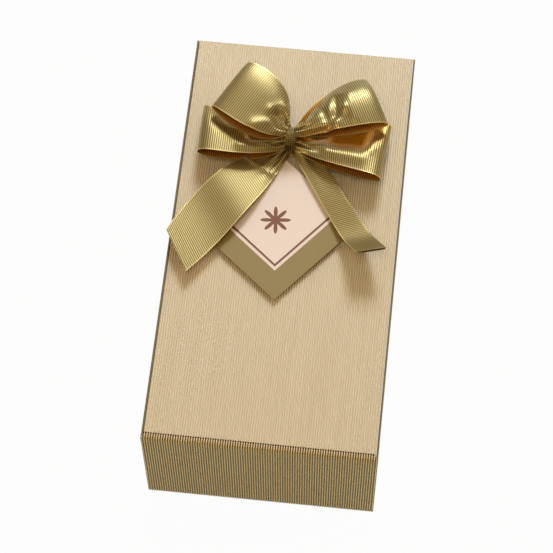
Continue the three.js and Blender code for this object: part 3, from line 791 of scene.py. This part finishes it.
def build_bow():
    loops = {
        "bow_upper_left_loop": dict(
            UPPER, lean=-0.035, rear=[[-ROOT, 0.22], [0.12, 1.14], [-1.1, 1.61]],
            front=[[-ROOT, -0.02], [-0.72, -0.36], [-1.74, 0.45]],
            creases=[
                ((4, 34), (40, 36), 10, -7), ((3, 12), (9, 13), 4, -2.4),
                ((13.5, 12), (6, 23), 2.6, 1.2), ((16, 2), (10, 7), 3, 1),
            ]),
        "bow_upper_right_loop": dict(
            UPPER, lean=-0.09, rear=[[ROOT, 0.22], [0.44, 1.16], [1.48, 1.57]],
            front=[[ROOT, -0.02], [0.96, 0.08], [2.03, 0.43]],
            creases=[
                ((10, 33), (56, 33), 12, -14), ((17.8, 19), (18, 8), 2.2, -0.9),
                ((27.2, 17), (23.6, 8), 3, -1.5), ((29.5, 18), (28.3, 11), 2.6, 0.8),
                ((28.3, 11), (21.4, 3), 2, 0.8), ((33.6, 17), (31.5, 4), 2.2, 0.6),
            ],
            hollows=[((5, 1), (16, 1), 2.5, 2.2)]),
        "bow_lower_left_loop": dict(
            LOWER, lean=0.03, rear=[[-ROOT, 0.12], [-0.8, 0.25], [-1.95, 0.72]],
            front=[[-ROOT, -0.22], [-0.8, -0.66], [-1.94, -0.52]],
            creases=[((24, 5), (10, 5), 3, 1), ((30, 28), (52, 29), 9, -5)],
            hollows=[((4, 27), (30, 28), 9, 5.5), ((11, 16), (19, 14), 3.5, 3)]),
        "bow_lower_right_loop": dict(
            LOWER, lean=0.06, rear=[[ROOT, 0.12], [0.88, 0.25], [2.1, 0.58]],
            front=[[ROOT, -0.22], [0.96, -0.66], [1.98, -0.82]],
            creases=[((18, 8), (36, 7), 4, 1.2), ((41, 24), (41, 12), 3, 0.8)],
            hollows=[((6, 27), (37, 26), 9, 7), ((24, 17), (35, 16), 4.5, 3)]),
    }
    for node, values in loops.items():
        creases, hollows = values.pop("creases"), values.pop("hollows", ())
        up = -1 if "left" in node else 1
        ribbon(f"{node}_ribbon", node, loop_surface(**values), creases, hollows, up=up)
    tails = {
        "bow_left_tail": dict(
            outer=[[-0.22, -0.1, 0.15], [-1.52, -0.47, 0.12], [-2.37, -2.38, 0.28]],
            inner=[[0, -0.25, 0.15], [-0.6, -1.75, 0.1], [-1.84, -3.3, 0.26]],
            creases=[((38, -5), (38, 30), 16, 3), ((20, 26), (13, 0), 1.8, 0.5)]),
        "bow_right_tail": dict(
            outer=[[0.42, 0.08, 0.17], [1.33, -1.25, 0.24], [2.24, -2.56, 0.24]],
            inner=[[0.04, -0.2, 0.17], [0.83, -1.445, 0.16], [1.62, -2.69, 0.16]], shown=0.54,
            creases=[((86, -5), (86, 30), 16, 14)]),
    }
    for node, values in tails.items():
        creases = values.pop("creases")
        up = -1 if "left" in node else 1
        ribbon(f"{node}_ribbon", node, tail_surface(**values), creases, ends=1, up=up)
    build_knot()


def build_knot():
    """The wrap round the knot: a band drawn together into folds, closed on itself below."""
    half = (KNOT_HIGH - KNOT_LOW) / 2
    middle = (KNOT_HIGH + KNOT_LOW) / 2
    start_piece()
    bpy.ops.mesh.primitive_grid_add(x_subdivisions=WRAP_STEPS, y_subdivisions=WRAP_ACROSS, size=1)
    wrap = bpy.context.object
    wrap.name = "bow_knot_wrap"
    flat = points_of(wrap)
    turn = 2 * np.pi * (flat[:, 0] + 0.5)
    wide = 2 * flat[:, 1]
    fold = (0.17 - 0.1 * np.sin(turn)) * np.cos(5 * np.pi * wide + 0.8 * np.sin(2 * turn))
    swell = 0.85 - 0.4 * wide ** 4 + fold
    move_points(wrap, np.column_stack([
        middle.x + wide * half.x * (0.85 + 0.08 * np.sin(turn)),
        middle.y - half.y * swell * np.cos(turn),
        middle.z + half.z * swell * np.sin(turn),
    ]))
    set_map(wrap, np.column_stack([
        (flat[:, 0] + 0.5) * WRAP_LENGTH, (flat[:, 1] * 0.9 + 0.5) * RIBBON_WIDTH,
    ]))
    close_up(wrap, 1e-5)
    apply_modifier(wrap, "SOLIDIFY", thickness=RIBBON_THICKNESS, offset=-1)
    shade(wrap, 75)
    # The knot takes no painted reflection
    painted_reflection = wrap.data.attributes.new("painted_reflection", "FLOAT", "POINT")
    painted_reflection.data.foreach_set("value", np.zeros(len(wrap.data.vertices)))
    finish_piece(wrap, "bow_knot", "lid", lame)


def build_tag():
    """A square card set corner down, a little lifted at its corners."""
    low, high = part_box("tag_card")
    start_piece()
    bpy.ops.mesh.primitive_grid_add(x_subdivisions=TAG_STEPS, y_subdivisions=TAG_STEPS, size=TAG_SIDE)
    card = bpy.context.object
    card.name = "tag_card_printed"
    flat = points_of(card)
    set_map(card, flat[:, :2] + TAG_SIDE / 2)
    away = np.hypot(flat[:, 0], flat[:, 1]) / TAG_SIDE
    move_points(card, np.column_stack([flat[:, :2], TAG_CURL * away ** 2]))
    apply_modifier(card, "SOLIDIFY", thickness=high.z - low.z, offset=1)
    apply_modifier(
        card, "BEVEL", width=TAG_BEVEL, segments=1, limit_method="ANGLE", angle_limit=math.radians(60))
    middle = (low + high) / 2
    card.data.transform(
        Matrix.Translation((middle.x, middle.y, low.z)) @ Matrix.Rotation(math.radians(TAG_ANGLE), 4, "Z"))
    shade(card, 40)
    finish_piece(card, "tag_card", "lid", card_print)


# Stage

def build_stage():
    start_piece()
    bpy.ops.mesh.primitive_plane_add(size=SWEEP_SIDE, location=(0, 0, -SWEEP_DROP))
    floor = bpy.context.object
    floor.name = "floor"
    material, tree, shader = new_material("pale_paper_sweep")
    shader.inputs["Base Color"].default_value = linear("#B0ADA8")
    shader.inputs["Roughness"].default_value = 0.9
    seen = add_node(tree, "ShaderNodeLightPath")
    shown = add_node(tree, "ShaderNodeMath", {
        0: seen.outputs["Is Camera Ray"], 1: seen.outputs["Is Glossy Ray"],
    }, operation="MAXIMUM")
    through = add_node(tree, "ShaderNodeMath", {
        0: shown.outputs[0], 1: seen.outputs["Is Transmission Ray"],
    }, operation="MAXIMUM")
    share = add_node(tree, "ShaderNodeMath", {0: through.outputs[0], 1: 0.97}, operation="MULTIPLY")
    glow = add_node(tree, "ShaderNodeEmission", {"Color": (1, 1, 1, 1), "Strength": 1})
    both = add_node(tree, "ShaderNodeMixShader", {
        0: share.outputs[0], 1: shader.outputs["BSDF"], 2: glow.outputs["Emission"],
    })
    output = next(n for n in tree.nodes if n.type == "OUTPUT_MATERIAL")
    tree.links.new(both.outputs["Shader"], output.inputs["Surface"])
    floor.data.materials.append(material)

    world = bpy.data.worlds.new("studio")
    bpy.context.scene.world = world
    world.use_nodes = True
    tree = world.node_tree
    tree.nodes.clear()
    place = add_node(tree, "ShaderNodeTexCoord")
    facing = add_node(tree, "ShaderNodeVectorMath", {
        0: place.outputs["Generated"], 1: SOFT_BOX_SIDE,
    }, operation="DOT_PRODUCT")
    rise = add_node(tree, "ShaderNodeMapRange", {
        "Value": facing.outputs["Value"], "From Min": SOFT_BOX_EDGE, "From Max": 1,
        "To Min": 0.26, "To Max": 0.7,
    }, interpolation_type="SMOOTHSTEP")
    sky = add_node(tree, "ShaderNodeBackground", {
        "Color": linear("#FFDFB4"), "Strength": rise.outputs["Result"],
    })
    add_node(tree, "ShaderNodeOutputWorld", {"Surface": sky.outputs["Background"]})

    add_lamp("key", (0.3, 3.9, 3.1), 1.4, 186, "#EEF5FF")
    add_lamp("fill", (-1.3, -0.9, 0.4), 0.5, 7, "#FFD8A0")
    add_lamp("side", (2.4, 0.9, 1.3), 1, 6, "#FFE8C8")
    add_lamp("top", (-0.35, -0.9, 3), 1, 24, "#FFE2BA")


def add_lamp(name, place, size, power, colour):
    """A square soft box that faces the lid."""
    bpy.ops.object.light_add(type="AREA", location=place)
    lamp = bpy.context.object
    lamp.name = name
    lamp.data.size = size
    lamp.data.energy = power
    lamp.data.color = linear(colour)[:3]
    lamp.rotation_mode = "QUATERNION"
    lamp.rotation_quaternion = (BOW - Vector(place)).to_track_quat("-Z", "Y")


def build_camera():
    azimuth, elevation, roll = (math.radians(a) for a in (CAMERA_AZIMUTH, CAMERA_ELEVATION, CAMERA_ROLL))
    ahead = Vector((
        math.sin(azimuth) * math.cos(elevation), math.cos(azimuth) * math.cos(elevation), -math.sin(elevation)))
    right = Vector((math.cos(azimuth), -math.sin(azimuth), 0))
    upward = right.cross(ahead)
    rolled_right = math.cos(roll) * right + math.sin(roll) * upward
    rolled_up = -math.sin(roll) * right + math.cos(roll) * upward
    bpy.ops.object.camera_add()
    camera = bpy.context.object
    camera.name = "camera"
    turn = Matrix((rolled_right, rolled_up, -ahead)).transposed().to_4x4()
    camera.matrix_world = Matrix.Translation(CAMERA_PLACE) @ turn
    camera.data.sensor_width = SENSOR
    camera.data.lens = SENSOR * PHOTO_FOCAL / PHOTO_SIDE
    camera.data.clip_start = 0.01
    camera.data.clip_end = 20
    bpy.context.scene.camera = camera
    bpy.context.scene.view_settings.view_transform = "Standard"


build_carton()
build_trays()
build_pralines()
build_bow()
build_tag()
build_stage()
build_camera()
